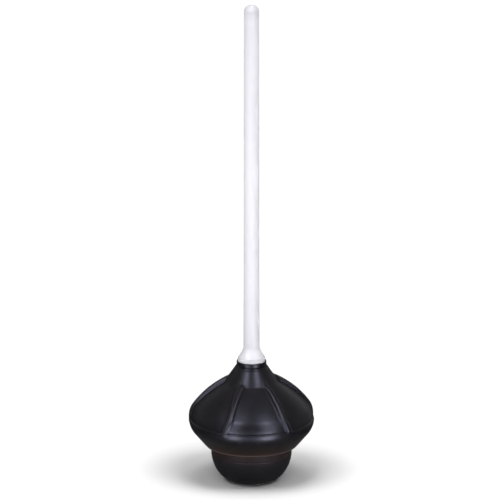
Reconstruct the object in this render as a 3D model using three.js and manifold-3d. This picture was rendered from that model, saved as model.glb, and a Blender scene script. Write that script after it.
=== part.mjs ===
// A toilet plunger: a moulded rubber force cup with a hollow white plastic handle that screws into its neck.
// Millimetres, +Z up. The origin is the centre of the cup's mouth, on the plane that the plunger stands on.
// Every outline is drawn in the (radius, height) half-plane and turned round the Z axis.

import * as THREE from "three";
import { mergeVertices } from "three/addons/utils/BufferGeometryUtils.js";
import Module from "manifold-3d";

const wasm = await Module();
wasm.setup();

// Clearance between pieces that touch on the real object.
const GAP = 0.3;
const DEGREE = Math.PI / 180;

// Heights, from the floor up.
const BULB_CENTRE_Z = 40;
const BAND_BOTTOM_Z = 35;
const WAIST_Z = 46;
const EQUATOR_Z = 80.5;
const CREASE_Z = 81.5;
const SHOULDER_Z = 84.6;
const BOSS_BOTTOM_Z = 119.6;
const NECK_CEILING_Z = 130;
const INSERT_BOTTOM_Z = 124;
const SPIGOT_BOTTOM_Z = 128.5;
const NECK_TOP_Z = 149.2;
const SEAT_Z = 150;
const COLLAR_TOP_Z = 156.6;
const TUBE_BOTTOM_Z = 174.9;
const TUBE_TOP_Z = 611;
const TOP_Z = 620;

// The rubber cup.
const CUP_SEGMENTS = 48;
const WALL = 3.6;
const MOUTH_RADIUS = 18.5;
const RIM_RADIUS = 22.5;
const RIM_THICKNESS = 3.2;
const BULB_RADIUS = 51.3;
const BAND_RADIUS = 51.7;
const BAND_CHAMFER = 0.7;
const LIP_CENTRE_RADIUS = 56.9;
const LIP_ROUNDING = 2.2;
const BELLY_CENTRE_RADIUS = 54.3;
const BELLY_ROUNDING = 25.1;
const LOWER_CONE_ANGLE = 42.5;
const SHOULDER = { centre: 53.8, rounding: 25.9, angle: 36 };
const DOME_ROUNDING = 118;
const DOME_TOP_ANGLE = 63;
const NECK_RADIUS = 20.5;
const NECK_HOLLOWING = 210;
const NECK_TOP_ANGLE = 32;
const NECK_BOTTOM_ANGLE = 35.3;
const NECK_CHAMFER = 0.5;
const COLLAR_RADIUS = 18.8;
const COLLAR_CHAMFER = 0.3;
const GROOVE_TOP_Z = 151.6;
const GROOVE_FLOOR_Z = 151;
const GROOVE_BOTTOM_Z = 150.5;
const GROOVE_DEPTH = 0.7;
const RECESS_RADIUS = 17.75;
const BOSS_RADIUS = 19.5;
const BOSS_CHAMFER = 2;
const BOSS_ROOT_RADIUS = 28;
const HOLLOW_WAIST_Z = 43.5;
const HOLLOW_BELLY_ANGLE = 8;

// The shallow panels sunk into the bell, and the ribs left standing between them.
// Each rib's azimuth is counted in degrees from the front, -Y, towards +X.
const RIB_AZIMUTHS = [-151.7, -95, -29.5, 29.5, 95, 151.7];
const RIB_WIDTH = 8.5;
const PANEL_SHOULDER = { centre: 58.1, rounding: 19, angle: 40 };
const PANEL_ROUNDING = 149.4;
const PANEL_TOP_ANGLE = 59;
// The solid that is cut away for the panels reaches this far out from the crests.
const CUT_CLEARANCE = 4;
// The slab that keeps a rib out of that cut is this long and this high.
const SLAB_LENGTH = 100;

// The screw joint between the handle and the neck.
const PITCH = 6;
const SPIGOT_TURNS = 2.5;
const SOCKET_TURNS = 2;
const STEPS_PER_TURN = 24;
const CORE_RADIUS = 9.5;
const CREST_RADIUS = 11.5;
const SOCKET_RADIUS = 12.1;
const SOCKET_CREST_RADIUS = 10.1;
const THREAD_START_Z = 131.5;
const SOCKET_RIDGE_ROOT_HALF = 2.25;
const SOCKET_RIDGE_CREST_HALF = 1.25;
const SPIGOT_RIDGE_ROOT_HALF = 1.7;
const SPIGOT_RIDGE_CREST_HALF = 0.7;
const RIDGE_EMBEDDING = 0.5;
const RIDGE_FADE_ANGLE = Math.PI / 3;
const RIDGE_FADE_LEAST = 0.1;
const THREAD_CHAMFER = 0.6;
const INSERT_RADIUS = 15;
const INSERT_FLOOR = 2.5;
const BARB_HEIGHT = 1.3;
const BARB_HEIGHTS_Z = [131, 140];

// The handle.
const ROUND_SEGMENTS = 32;
const FLANGE_RADIUS = 17.4;
const FLANGE_ROUNDING = 1.1;
const FLANGE_TOP_Z = 160.2;
const TRUMPET = 45;
const TRUMPET_ANGLE = 37.5;
const FILLET = 8;
const FILLET_ANGLE = 22;
const FLARE_TOP_RADIUS = 10.2;
const SPIGOT_BORE_RADIUS = 6.5;
const PLUG_LENGTH = 22;
const PLUG_CHAMFER = 1;
const TUBE_BORE_RADIUS = 8;
const TUBE_LOW_Z = 280;
const TUBE_LOW_RADIUS = 9.75;
const TUBE_HIGH_Z = 545;
const TUBE_HIGH_RADIUS = 9.65;
const TUBE_TOP_RADIUS = 9.48;
const CAP_PLUG_LENGTH = 16;
const CAP_PLUG_WALL = 2;
const CAP_PLUG_CHAMFER = 0.7;
const CAP_EDGE = 0.5;
const SEAL_THICKNESS = 2;
const SEAL_BORE_RADIUS = 12.3;

const COLOURS = {
  rubber: { color: 0x232329, roughness: 0.5, metalness: 0 },
  white: { color: 0xeeedf3, roughness: 0.3, metalness: 0 },
  insert: { color: 0x8d8f94, roughness: 0.6, metalness: 0 },
  seal: { color: 0x3a3a3d, roughness: 0.7, metalness: 0 },
};

function point(radius, height) {
  return new THREE.Vector2(radius, height);
}

// Points along an arc of an ellipse with the given centre and half-axes, between two angles in degrees.
function arc(centre, across, up, from, to, steps) {
  const points = [];
  for (let i = 0; i <= steps; i += 1) {
    const angle = (from + ((to - from) * i) / steps) * DEGREE;
    points.push(point(centre.x + across * Math.cos(angle), centre.y + up * Math.sin(angle)));
  }
  return points;
}

// The centre of a circle that carries on smoothly from another one at an angle.
function nextCentre(centre, rounding, nextRounding, angle) {
  const shift = rounding - nextRounding;
  return point(
    centre.x + shift * Math.cos(angle * DEGREE),
    centre.y + shift * Math.sin(angle * DEGREE),
  );
}

function revolve(outline, segments) {
  return new THREE.LatheGeometry(outline, segments).rotateX(Math.PI / 2);
}

function closed(outline) {
  return [...outline, outline[0].clone()];
}

function solidOf(geometry) {
  const bare = geometry.clone();
  bare.deleteAttribute("normal");
  bare.deleteAttribute("uv");
  const merged = mergeVertices(bare, 1e-4);
  return new wasm.Manifold(
    new wasm.Mesh({
      numProp: 3,
      vertProperties: merged.attributes.position.array,
      triVerts: new Uint32Array(merged.index.array),
    }),
  );
}

function geometryOf(solid) {
  const mesh = solid.getMesh();
  const geometry = new THREE.BufferGeometry();
  geometry.setAttribute("position", new THREE.BufferAttribute(mesh.vertProperties, 3));
  geometry.setIndex(new THREE.BufferAttribute(mesh.triVerts, 1));
  geometry.computeVertexNormals();
  return geometry;
}

function named(name, geometry, look) {
  const mesh = new THREE.Mesh(geometry, new THREE.MeshStandardMaterial(COLOURS[look]));
  mesh.name = name;
  return mesh;
}

// The outside of the insert, widened by a clearance: a plain barrel with barbs that the rubber grips.
function insertOutline(clearance) {
  const radius = INSERT_RADIUS + clearance;
  const outline = [point(0, INSERT_BOTTOM_Z - clearance), point(radius, INSERT_BOTTOM_Z - clearance)];
  for (const height of BARB_HEIGHTS_Z) {
    outline.push(point(radius, height - clearance));
    outline.push(point(radius + BARB_HEIGHT, height + BARB_HEIGHT));
    outline.push(point(radius, height + 2 * BARB_HEIGHT + clearance));
  }
  outline.push(point(radius, SEAT_Z));
  return outline;
}

// The pocket, the seat for the seal and the collar's lip, from the axis out.
function neckSocketOutline() {
  return [
    ...insertOutline(GAP),
    point(RECESS_RADIUS, SEAT_Z),
    point(RECESS_RADIUS, COLLAR_TOP_Z - COLLAR_CHAMFER),
    point(RECESS_RADIUS + COLLAR_CHAMFER, COLLAR_TOP_Z),
    point(COLLAR_RADIUS - COLLAR_CHAMFER, COLLAR_TOP_Z),
    point(COLLAR_RADIUS, COLLAR_TOP_Z - COLLAR_CHAMFER),
    point(COLLAR_RADIUS, GROOVE_TOP_Z),
  ];
}

// The groove under the collar, the rounded shoulder and the slightly hollow cone of the neck.
function neckOutline() {
  const hollow = point(
    NECK_RADIUS + NECK_HOLLOWING * Math.cos(NECK_TOP_ANGLE * DEGREE),
    NECK_TOP_Z + NECK_HOLLOWING * Math.sin(NECK_TOP_ANGLE * DEGREE),
  );
  return [
    point(COLLAR_RADIUS - GROOVE_DEPTH, GROOVE_FLOOR_Z),
    point(COLLAR_RADIUS, GROOVE_BOTTOM_Z),
    point(NECK_RADIUS - NECK_CHAMFER, NECK_TOP_Z + NECK_CHAMFER),
    ...arc(hollow, NECK_HOLLOWING, NECK_HOLLOWING, 180 + NECK_TOP_ANGLE, 180 + NECK_BOTTOM_ANGLE, 3),
  ];
}

// The bell from the neck's foot down to its widest place: a long rounding that runs into the shoulder's.
function domeOutline(shoulder, longRounding, topAngle, steps) {
  const centre = point(shoulder.centre, SHOULDER_Z);
  const dome = nextCentre(centre, shoulder.rounding, longRounding, shoulder.angle);
  return [
    ...arc(dome, longRounding, longRounding, topAngle, shoulder.angle, steps),
    ...arc(centre, shoulder.rounding, shoulder.rounding, shoulder.angle, 0, steps).slice(1),
  ];
}

// The same shoulder with its surface moved outwards.
function grown(shoulder, distance) {
  return { ...shoulder, rounding: shoulder.rounding + distance };
}

// The bell's belly, its lower cone and the lip over the waist.
function lowerBellOutline() {
  const belly = point(BELLY_CENTRE_RADIUS, EQUATOR_Z);
  const lip = point(LIP_CENTRE_RADIUS, WAIST_Z + LIP_ROUNDING);
  return [
    ...arc(belly, BELLY_ROUNDING, BELLY_ROUNDING, 0, -LOWER_CONE_ANGLE, 5),
    ...arc(lip, LIP_ROUNDING, LIP_ROUNDING, -LOWER_CONE_ANGLE, -90, 2),
  ];
}

// The band under the waist, the bulb and the flat rim that the plunger stands on.
function bulbOutline() {
  const centre = point(RIM_RADIUS, BULB_CENTRE_Z);
  const bulbAngle = Math.asin((BULB_CENTRE_Z - BAND_BOTTOM_Z) / BULB_CENTRE_Z) / DEGREE;
  const bandStep = BAND_RADIUS - BULB_RADIUS;
  const lip = point(MOUTH_RADIUS + RIM_THICKNESS / 2, RIM_THICKNESS / 2);
  return [
    point(BAND_RADIUS + BAND_CHAMFER, WAIST_Z),
    point(BAND_RADIUS, WAIST_Z - BAND_CHAMFER),
    point(BAND_RADIUS, BAND_BOTTOM_Z + bandStep),
    ...arc(centre, BULB_RADIUS - RIM_RADIUS, BULB_CENTRE_Z, -bulbAngle, -90, 7),
    ...arc(lip, RIM_THICKNESS / 2, RIM_THICKNESS / 2, -90, -270, 4),
  ];
}

// The hollow inside, from the mouth up to the boss that holds the insert.
function hollowOutline() {
  const bulb = point(RIM_RADIUS, BULB_CENTRE_Z);
  const belly = point(BELLY_CENTRE_RADIUS, EQUATOR_Z);
  const bulbAcross = BULB_RADIUS - RIM_RADIUS - RIM_THICKNESS;
  const inner = BELLY_ROUNDING - WALL;
  return [
    ...arc(bulb, bulbAcross, BULB_CENTRE_Z - RIM_THICKNESS, -90, 0, 5),
    point(RIM_RADIUS + bulbAcross, HOLLOW_WAIST_Z),
    ...arc(belly, inner, inner, -LOWER_CONE_ANGLE, -HOLLOW_BELLY_ANGLE, 3),
    ...domeOutline(grown(PANEL_SHOULDER, -WALL), PANEL_ROUNDING - WALL, PANEL_TOP_ANGLE, 4).reverse(),
    point(BOSS_ROOT_RADIUS, NECK_CEILING_Z),
    point(BOSS_RADIUS + BOSS_CHAMFER, NECK_CEILING_Z - BOSS_CHAMFER),
    point(BOSS_RADIUS, BOSS_BOTTOM_Z + BOSS_CHAMFER),
    point(BOSS_RADIUS - BOSS_CHAMFER, BOSS_BOTTOM_Z),
    point(0, BOSS_BOTTOM_Z),
  ];
}

// What is cut away for the panels: a ring from their floor out to the open air, less a slab along each rib.
// The ring's upper side carries the neck's cone on down to the floor, and its lower side is the crease.
function panelCuts() {
  const floor = domeOutline(PANEL_SHOULDER, PANEL_ROUNDING, PANEL_TOP_ANGLE, 5);
  floor.push(point(floor.at(-1).x, CREASE_Z));
  const air = domeOutline(grown(SHOULDER, CUT_CLEARANCE), DOME_ROUNDING, DOME_TOP_ANGLE, 4);
  air.push(point(air.at(-1).x, CREASE_Z));
  const ring = [neckOutline().at(-1), ...air, ...floor.reverse()];
  let cuts = solidOf(revolve(closed(ring).reverse(), CUP_SEGMENTS));
  for (const azimuth of RIB_AZIMUTHS) {
    const slab = new THREE.BoxGeometry(RIB_WIDTH, SLAB_LENGTH, SLAB_LENGTH);
    slab.translate(0, -SLAB_LENGTH / 2, (CREASE_Z + NECK_TOP_Z) / 2);
    cuts = cuts.subtract(solidOf(slab.rotateZ(azimuth * DEGREE)));
  }
  return cuts;
}

function rubberCup() {
  const topToMouth = [
    ...neckSocketOutline(),
    ...neckOutline(),
    ...domeOutline(SHOULDER, DOME_ROUNDING, DOME_TOP_ANGLE, 5),
    ...lowerBellOutline(),
    ...bulbOutline(),
    ...hollowOutline(),
  ];
  const cup = solidOf(revolve(topToMouth.reverse(), CUP_SEGMENTS));
  return named("rubber_cup", geometryOf(cup.subtract(panelCuts())), "rubber");
}

// A right-hand screw ridge. Its section is extruded straight, then wound round the Z axis.
// The ridge fades out at both ends, as a moulded thread does.
function threadRidge(root, crest, startZ, turns) {
  const length = turns * 2 * Math.PI;
  const section = new THREE.Shape([
    point(root.radius, -root.half),
    point(crest.radius, -crest.half),
    point(crest.radius, crest.half),
    point(root.radius, root.half),
  ]);
  const ridge = new THREE.ExtrudeGeometry(section, {
    depth: length,
    steps: turns * STEPS_PER_TURN,
    bevelEnabled: false,
  });
  const place = ridge.attributes.position;
  for (let i = 0; i < place.count; i += 1) {
    const angle = length - place.getZ(i);
    const fromEnd = Math.min(angle, length - angle) / RIDGE_FADE_ANGLE;
    const fade = Math.min(1, Math.max(RIDGE_FADE_LEAST, fromEnd));
    const radius = root.radius + fade * (place.getX(i) - root.radius);
    const height = startZ + place.getY(i) + (PITCH * angle) / (2 * Math.PI);
    place.setXYZ(i, radius * Math.cos(angle), radius * Math.sin(angle), height);
  }
  return ridge;
}

// The rigid socket moulded into the rubber neck: a blind barrel with a thread inside.
function socketInsert() {
  const outline = [
    ...insertOutline(0),
    point(SOCKET_RADIUS + THREAD_CHAMFER, SEAT_Z),
    point(SOCKET_RADIUS, SEAT_Z - THREAD_CHAMFER),
    point(SOCKET_RADIUS, INSERT_BOTTOM_Z + INSERT_FLOOR),
    point(0, INSERT_BOTTOM_Z + INSERT_FLOOR),
  ];
  const barrel = solidOf(revolve(outline, ROUND_SEGMENTS));
  const root = { radius: SOCKET_RADIUS + RIDGE_EMBEDDING, half: SOCKET_RIDGE_ROOT_HALF };
  const crest = { radius: SOCKET_CREST_RADIUS, half: SOCKET_RIDGE_CREST_HALF };
  const ridge = solidOf(threadRidge(root, crest, THREAD_START_Z + PITCH / 2, SOCKET_TURNS));
  return named("socket_insert", geometryOf(barrel.add(ridge)), "insert");
}

function sealWasher() {
  const bottom = SEAT_Z + GAP;
  const outer = RECESS_RADIUS - GAP;
  const outline = closed([
    point(SEAL_BORE_RADIUS, bottom),
    point(outer, bottom),
    point(outer, bottom + SEAL_THICKNESS),
    point(SEAL_BORE_RADIUS, bottom + SEAL_THICKNESS),
  ]);
  return named("seal_washer", revolve(outline, ROUND_SEGMENTS), "seal");
}

// The handle's foot: a plug up inside the tube, a trumpet flare, a flange and a hollow threaded spigot.
function handleFoot() {
  const flangeBottom = SEAT_Z + 2 * GAP + SEAL_THICKNESS;
  const shoulder = TUBE_BOTTOM_Z - GAP;
  const plugRadius = TUBE_BORE_RADIUS - GAP;
  const fillet = point(FLARE_TOP_RADIUS + FILLET, shoulder);
  const trumpet = nextCentre(fillet, -FILLET, -TRUMPET, FILLET_ANGLE);
  const edge = point(FLANGE_RADIUS - FLANGE_ROUNDING, FLANGE_TOP_Z);
  const outline = closed([
    point(SPIGOT_BORE_RADIUS, SPIGOT_BOTTOM_Z),
    point(CORE_RADIUS - THREAD_CHAMFER, SPIGOT_BOTTOM_Z),
    point(CORE_RADIUS, SPIGOT_BOTTOM_Z + THREAD_CHAMFER),
    point(CORE_RADIUS, flangeBottom),
    point(FLANGE_RADIUS, flangeBottom),
    ...arc(edge, FLANGE_ROUNDING, FLANGE_ROUNDING, 0, TRUMPET_ANGLE, 2),
    ...arc(trumpet, -TRUMPET, -TRUMPET, TRUMPET_ANGLE, FILLET_ANGLE, 3),
    ...arc(fillet, -FILLET, -FILLET, FILLET_ANGLE, 0, 3).slice(1),
    point(plugRadius, shoulder),
    point(plugRadius, shoulder + PLUG_LENGTH - PLUG_CHAMFER),
    point(plugRadius - PLUG_CHAMFER, shoulder + PLUG_LENGTH),
    point(SPIGOT_BORE_RADIUS, shoulder + PLUG_LENGTH),
  ]);
  const body = solidOf(revolve(outline, ROUND_SEGMENTS));
  const root = { radius: CORE_RADIUS - RIDGE_EMBEDDING, half: SPIGOT_RIDGE_ROOT_HALF };
  const crest = { radius: CREST_RADIUS, half: SPIGOT_RIDGE_CREST_HALF };
  const ridge = solidOf(threadRidge(root, crest, THREAD_START_Z, SPIGOT_TURNS));
  return named("handle_foot", geometryOf(body.add(ridge)), "white");
}

// The hollow tube, which tapers gently towards the top.
function handleTube() {
  const outline = closed([
    point(TUBE_BORE_RADIUS, TUBE_BOTTOM_Z),
    point(FLARE_TOP_RADIUS, TUBE_BOTTOM_Z),
    point(TUBE_LOW_RADIUS, TUBE_LOW_Z),
    point(TUBE_HIGH_RADIUS, TUBE_HIGH_Z),
    point(TUBE_TOP_RADIUS, TUBE_TOP_Z),
    point(TUBE_BORE_RADIUS, TUBE_TOP_Z),
  ]);
  return named("handle_tube", revolve(outline, ROUND_SEGMENTS), "white");
}

// The rounded end of the handle, with a hollow plug that pushes into the tube.
function endCap() {
  const bottom = TUBE_TOP_Z + GAP;
  const plugRadius = TUBE_BORE_RADIUS - GAP;
  const domeCentre = point(0, bottom + CAP_EDGE);
  const dome = arc(domeCentre, TUBE_TOP_RADIUS, TOP_Z - domeCentre.y, 0, 90, 6);
  dome[dome.length - 1].x = 0;
  const outline = [
    point(0, bottom),
    point(plugRadius - CAP_PLUG_WALL, bottom),
    point(plugRadius - CAP_PLUG_WALL, bottom - CAP_PLUG_LENGTH),
    point(plugRadius - CAP_PLUG_CHAMFER, bottom - CAP_PLUG_LENGTH),
    point(plugRadius, bottom - CAP_PLUG_LENGTH + CAP_PLUG_CHAMFER),
    point(plugRadius, bottom),
    point(TUBE_TOP_RADIUS, bottom),
    ...dome,
  ];
  return named("end_cap", revolve(outline, ROUND_SEGMENTS), "white");
}

const plunger = new THREE.Group();
plunger.add(rubberCup(), socketInsert(), sealWasher(), handleFoot(), handleTube(), endCap());

export default plunger;
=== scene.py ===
# The looks of a toilet plunger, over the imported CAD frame: a ribbed cup of black rubber,
# and a long handle of white plastic that screws into its neck.
# Outlines are (radius, height) pairs in millimetres. They are turned round the Z axis and scaled to metres.
import math

import bmesh
import bpy
import numpy as np
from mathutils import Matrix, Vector


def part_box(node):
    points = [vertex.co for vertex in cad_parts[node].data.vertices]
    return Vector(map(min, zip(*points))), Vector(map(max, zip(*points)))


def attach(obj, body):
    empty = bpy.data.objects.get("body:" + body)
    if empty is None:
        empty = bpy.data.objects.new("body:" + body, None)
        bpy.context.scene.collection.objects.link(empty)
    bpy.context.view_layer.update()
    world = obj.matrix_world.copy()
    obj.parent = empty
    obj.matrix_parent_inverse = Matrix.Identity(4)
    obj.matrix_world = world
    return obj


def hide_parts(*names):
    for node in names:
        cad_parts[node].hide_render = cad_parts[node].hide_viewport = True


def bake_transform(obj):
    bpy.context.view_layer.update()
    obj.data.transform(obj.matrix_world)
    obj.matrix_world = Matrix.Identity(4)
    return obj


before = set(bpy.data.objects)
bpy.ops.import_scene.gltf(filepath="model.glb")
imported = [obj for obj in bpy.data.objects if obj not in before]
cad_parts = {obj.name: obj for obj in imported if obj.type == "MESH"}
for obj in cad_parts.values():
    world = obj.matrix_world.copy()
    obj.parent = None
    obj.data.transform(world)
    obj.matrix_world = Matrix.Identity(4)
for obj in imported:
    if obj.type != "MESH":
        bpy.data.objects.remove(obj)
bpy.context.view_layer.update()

MM = 0.001


def heights_of(node):
    """The bottom and the top of a CAD node, in millimetres."""
    low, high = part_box(node)
    return round(low.z / MM, 2), round(high.z / MM, 2)


# Heights that the CAD model gives. The plunger stands on its rim at height 0.
COLLAR_TOP_Z = heights_of("rubber_cup")[1]
INSERT_BOTTOM_Z, SEAT_Z = heights_of("socket_insert")
SEAL_BOTTOM_Z, SEAL_TOP_Z = heights_of("seal_washer")
SPIGOT_BOTTOM_Z = heights_of("handle_foot")[0]
TUBE_BOTTOM_Z, TUBE_TOP_Z = heights_of("handle_tube")
TOP_Z = heights_of("end_cap")[1]

# The clearance between parts that would touch.
GAP = 0.3

# The rubber cup's other heights.
BAND_BOTTOM_Z = 35.0
BULB_CENTRE_Z = 40.0
WAIST_Z = 46.0
EQUATOR_Z = 80.5
CREASE_Z = 81.5
SHOULDER_Z = 84.6
BOSS_BOTTOM_Z = 119.6
NECK_CEILING_Z = 130.0
NECK_SHOULDER_Z = 147.9
NECK_TOP_Z = 149.2
COLLAR_GROOVE_Z = 151.0
COLLAR_FOOT_Z = 153.6

# The bulb, the band round its top, and the lip that overhangs the band. The band has a slight draft, and it
# steps in to the bulb.
MOUTH_RADIUS = 18.5
RIM_RADIUS = 22.5
RIM_THICKNESS = 3.2
BULB_RADIUS = 51.3
BAND_RADIUS = 51.7
BAND_DRAFT = 0.7
BAND_STEP = 0.6
LIP_CENTRE_RADIUS = 56.9
LIP_ROUNDING = 2.2

# The belly, and the domes of the ribs' crests (DOME) and of the floor between them (PANEL). Each dome is a
# tight shoulder that turns into a long curve at an angle. The panels' floor ends a little above the crease.
WALL = 3.6
BELLY_CENTRE_RADIUS = 54.3
BELLY_ROUNDING = 25.1
LOWER_CONE_ANGLE = 42.5
DOME_CENTRE = 53.65
DOME_SHOULDER_ROUNDING = 25.9
DOME_SHOULDER_ANGLE = 36.0
DOME_ROUNDING = 118.0
DOME_TOP_ANGLE = 64.6
PANEL_CENTRE = 58.1
PANEL_SHOULDER_ROUNDING = 19.0
PANEL_SHOULDER_ANGLE = 40.0
PANEL_ROUNDING = 149.4
PANEL_TOP_ANGLE = 59.0
PANEL_END = 0.9
BEAD_ROUNDING = 1.9

# The neck is a hollow curve, from an angle at its top to another where a dome takes over. Inside it, the
# boss hangs down round the insert, with a groove in the ceiling round it.
NECK_RADIUS = 20.5
NECK_HOLLOWING = 210.0
NECK_TOP_ANGLE = 32.0
NECK_START_ANGLE = 32.35
NECK_TO_PANEL_ANGLE = 38.72
NECK_TO_DOME_ANGLE = 35.9
COLLAR_RADIUS = 18.8
COLLAR_EDGE = 0.45
COLLAR_ROUND = 0.8
RECESS_RADIUS = 17.75
BOSS_RADIUS = 19.5
BOSS_EDGE = 2.0
BOSS_GROOVE = 8.5

# The ribs: azimuths in degrees from -Y towards +X, and how far a rib stands up at some distances in from
# its side, as shares of its full rise. A highlight is painted on it a little way in, and its foot reaches
# outside its side.
RIB_AZIMUTHS = [-151.7, -95.0, -29.5, 29.5, 95.0, 151.7]
RIB_HALF_WIDTH = 4.25
RIB_FOOT = 1.4
RIB_SECTION_IN = [-1.3, -0.9, -0.5, -0.1, 0.3, 0.7, 1.1, 1.5, 1.9, 2.3, 2.8, 3.4, RIB_HALF_WIDTH]
RIB_SECTION_UP = [0.0, 0.03, 0.11, 0.25, 0.42, 0.58, 0.72, 0.83, 0.905, 0.955, 0.985, 1.0, 1.0]
RIB_EDGE_IN = 1.6
RIB_EDGE_WIDTH = 0.5
RIB_FULL_RISE = 2.0
RIB_REACH = 8.0
RIB_TIP_Z = 76.9
RIB_TIP_ROUNDING = 0.7 * RIB_HALF_WIDTH

# The front ribs are those within this many degrees of the front. They fade out below the top of the neck,
# and they spread towards their tips: by this many degrees in all, with this share of it inwards.
FRONT_RIB_LIMIT = 60
FRONT_RIB_TOP_Z = 133.5
FRONT_RIB_FADE = 9.0
RIB_SPREAD = 5.0
RIB_SPREAD_INWARDS = 0.4
RIB_SPREAD_Z = 100.0

# The grid of points on the cup. Nearer the axis than the limit, the columns keep the limit's angles. The
# zones of the outline follow one another in this order.
PANEL_COLUMNS = 22
COLUMN_RADIUS_LIMIT = 15.0
POCKET, COLLAR, PANEL, BEAD, BELLY, BULB, HOLLOW = range(7)

# The screw joint. A ridge has a half width at its root and at its crest.
PITCH = 6.0
THREAD_START_Z = 131.5
THREAD_STEP = 0.3
SPIGOT_TURNS = 2.5
SPIGOT_RIDGE = (1.6, 0.7)
SOCKET_TURNS = 2.0
SOCKET_RIDGE = (2.1, 1.25)
CORE_RADIUS = 9.5
CREST_RADIUS = 11.5
SOCKET_RADIUS = 12.1
SOCKET_CREST_RADIUS = 10.1
SOCKET_FLOOR = 2.5
INSERT_RADIUS = 15.0
BARB_HEIGHT = 1.3
BARB_HEIGHTS_Z = (131.0, 140.0)
SEAL_BORE_RADIUS = 12.3

# Turned pieces have this many segments round the axis, and small edges are rounded or bevelled by EDGE.
SEGMENTS = 96
EDGE = 0.3

# The handle. The flare is a trumpet curve that a fillet turns upright. The bores have rows of points at some
# heights, so that their faces aren't too long.
FLANGE_RADIUS = 17.4
FLANGE_EDGE = 0.5
FLANGE_TOP_Z = 160.2
FLANGE_BEAD = 0.75
FLARE_TOP_RADIUS = 10.2
TRUMPET = 45.0
TRUMPET_ANGLE = 37.5
FILLET = 8.0
FILLET_ANGLE = 22.0
SPIGOT_BORE_RADIUS = 6.5
SPIGOT_BORE_ROWS_Z = (185.0, 165.0, 145.0)
SPIGOT_EDGE = 0.6
PLUG_LENGTH = 22.0
PLUG_EDGE = 1.0
TUBE_BORE_RADIUS = 8.0
TUBE_BORE_ROWS_Z = np.arange(600.0, 180.0, -30.0)
TUBE_TAPER = [(9.75, 280.0), (9.65, 545.0)]
TUBE_TOP_RADIUS = 9.48
SEAM_INSET = 0.04
SEAM_EDGE = 0.05
SEAM_SIDE = 0.06
SEAM_DEPTH = 0.02
CAP_SIDE = 0.5
CAP_PLUG_LENGTH = 16.0
CAP_PLUG_WALL = 2.0
CAP_PLUG_BEVEL = (0.6, 0.8)


# ---------------------------------------------------------------- outlines

def eased(share):
    """0 below 0, 1 above 1, and a smooth step in between."""
    share = np.clip(share, 0, 1)
    return share * share * (3 - 2 * share)


def arc(centre, radii, start, end, steps):
    """Points on a circle or an ellipse, between two angles in degrees."""
    angles = np.radians(np.linspace(start, end, steps + 1))
    return np.c_[centre[0] + radii[0] * np.cos(angles), centre[1] + radii[1] * np.sin(angles)]


def next_centre(centre, rounding, next_rounding, angle):
    """The centre of a circle that carries on smoothly from another one at an angle."""
    shift = rounding - next_rounding
    return (
        centre[0] + shift * math.cos(math.radians(angle)),
        centre[1] + shift * math.sin(math.radians(angle)),
    )


def joined(*parts):
    """One outline from points and lists of points."""
    return np.vstack([np.atleast_2d(np.array(part, float)) for part in parts])


def spaced(curve, step):
    """The curve with a point every step or so along it."""
    along = np.r_[0.0, np.cumsum(np.hypot(*np.diff(curve, axis=0).T))]
    count = max(2, int(round(along[-1] / step)) + 1)
    at = np.linspace(0, along[-1], count)
    return np.c_[np.interp(at, along, curve[:, 0]), np.interp(at, along, curve[:, 1])]


def softened(curve, rounding, step=0.12):
    """The curve with its corners eased over about that many millimetres. The ends stay where they are."""
    points = spaced(curve, step)
    reach = int(3 * rounding / step)
    kernel = np.exp(-0.5 * (np.arange(-reach, reach + 1) * step / rounding) ** 2)
    kernel /= kernel.sum()
    smooth = []
    for values in points.T:
        before = 2 * values[0] - values[reach:0:-1]
        after = 2 * values[-1] - values[-2:-reach - 2:-1]
        smooth.append(np.convolve(np.r_[before, values, after], kernel, mode="valid"))
    return np.array(smooth).T


def resampled(curve, rounding, step):
    """The curve with its corners eased, and with a point every step or so."""
    return spaced(softened(curve, rounding), step)


def normals_of(curve):
    """Unit normals, which point outwards on an outline that runs from the top down."""
    tangent = np.gradient(curve, axis=0)
    normal = np.c_[-tangent[:, 1], tangent[:, 0]]
    return normal / np.linalg.norm(normal, axis=1)[:, None]


def reach_to(points, normals, curve):
    """How far each point has to go along its normal to meet the curve, or 0."""
    found = np.zeros(len(points))
    start, span = curve[:-1], np.diff(curve, axis=0)
    for i, (point, normal) in enumerate(zip(points, normals)):
        cross = normal[0] * span[:, 1] - normal[1] * span[:, 0]
        cross = np.where(np.abs(cross) < 1e-12, 1e-12, cross)
        gap = start - point
        along_normal = (gap[:, 0] * span[:, 1] - gap[:, 1] * span[:, 0]) / cross
        along_span = (gap[:, 0] * normal[1] - gap[:, 1] * normal[0]) / cross
        hit = (along_span >= 0) & (along_span <= 1) & (along_normal > -0.01) & (along_normal < RIB_REACH)
        if hit.any():
            found[i] = max(0.0, along_normal[hit].min())
    return found


# ---------------------------------------------------------------- the rubber cup's outline

def neck_cone(bottom_angle):
    """The neck's hollow curve, down to where a dome takes over at that angle."""
    centre = (
        NECK_RADIUS + NECK_HOLLOWING * math.cos(math.radians(NECK_TOP_ANGLE)),
        NECK_TOP_Z + NECK_HOLLOWING * math.sin(math.radians(NECK_TOP_ANGLE)),
    )
    return arc(centre, (NECK_HOLLOWING, NECK_HOLLOWING), 180 + NECK_START_ANGLE, 180 + bottom_angle, 60)


def dome(centre_radius, rounding, angle, long_rounding, top_angle):
    """From the top down a long curve, then round the shoulder until it runs straight down."""
    shoulder = (centre_radius, SHOULDER_Z)
    centre = next_centre(shoulder, rounding, long_rounding, angle)
    return joined(
        arc(centre, (long_rounding, long_rounding), top_angle, angle, 120),
        arc(shoulder, (rounding, rounding), angle, 0, 60)[1:],
    )


def crest_dome():
    """The ribs' crests."""
    return dome(DOME_CENTRE, DOME_SHOULDER_ROUNDING, DOME_SHOULDER_ANGLE, DOME_ROUNDING, DOME_TOP_ANGLE)


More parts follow.
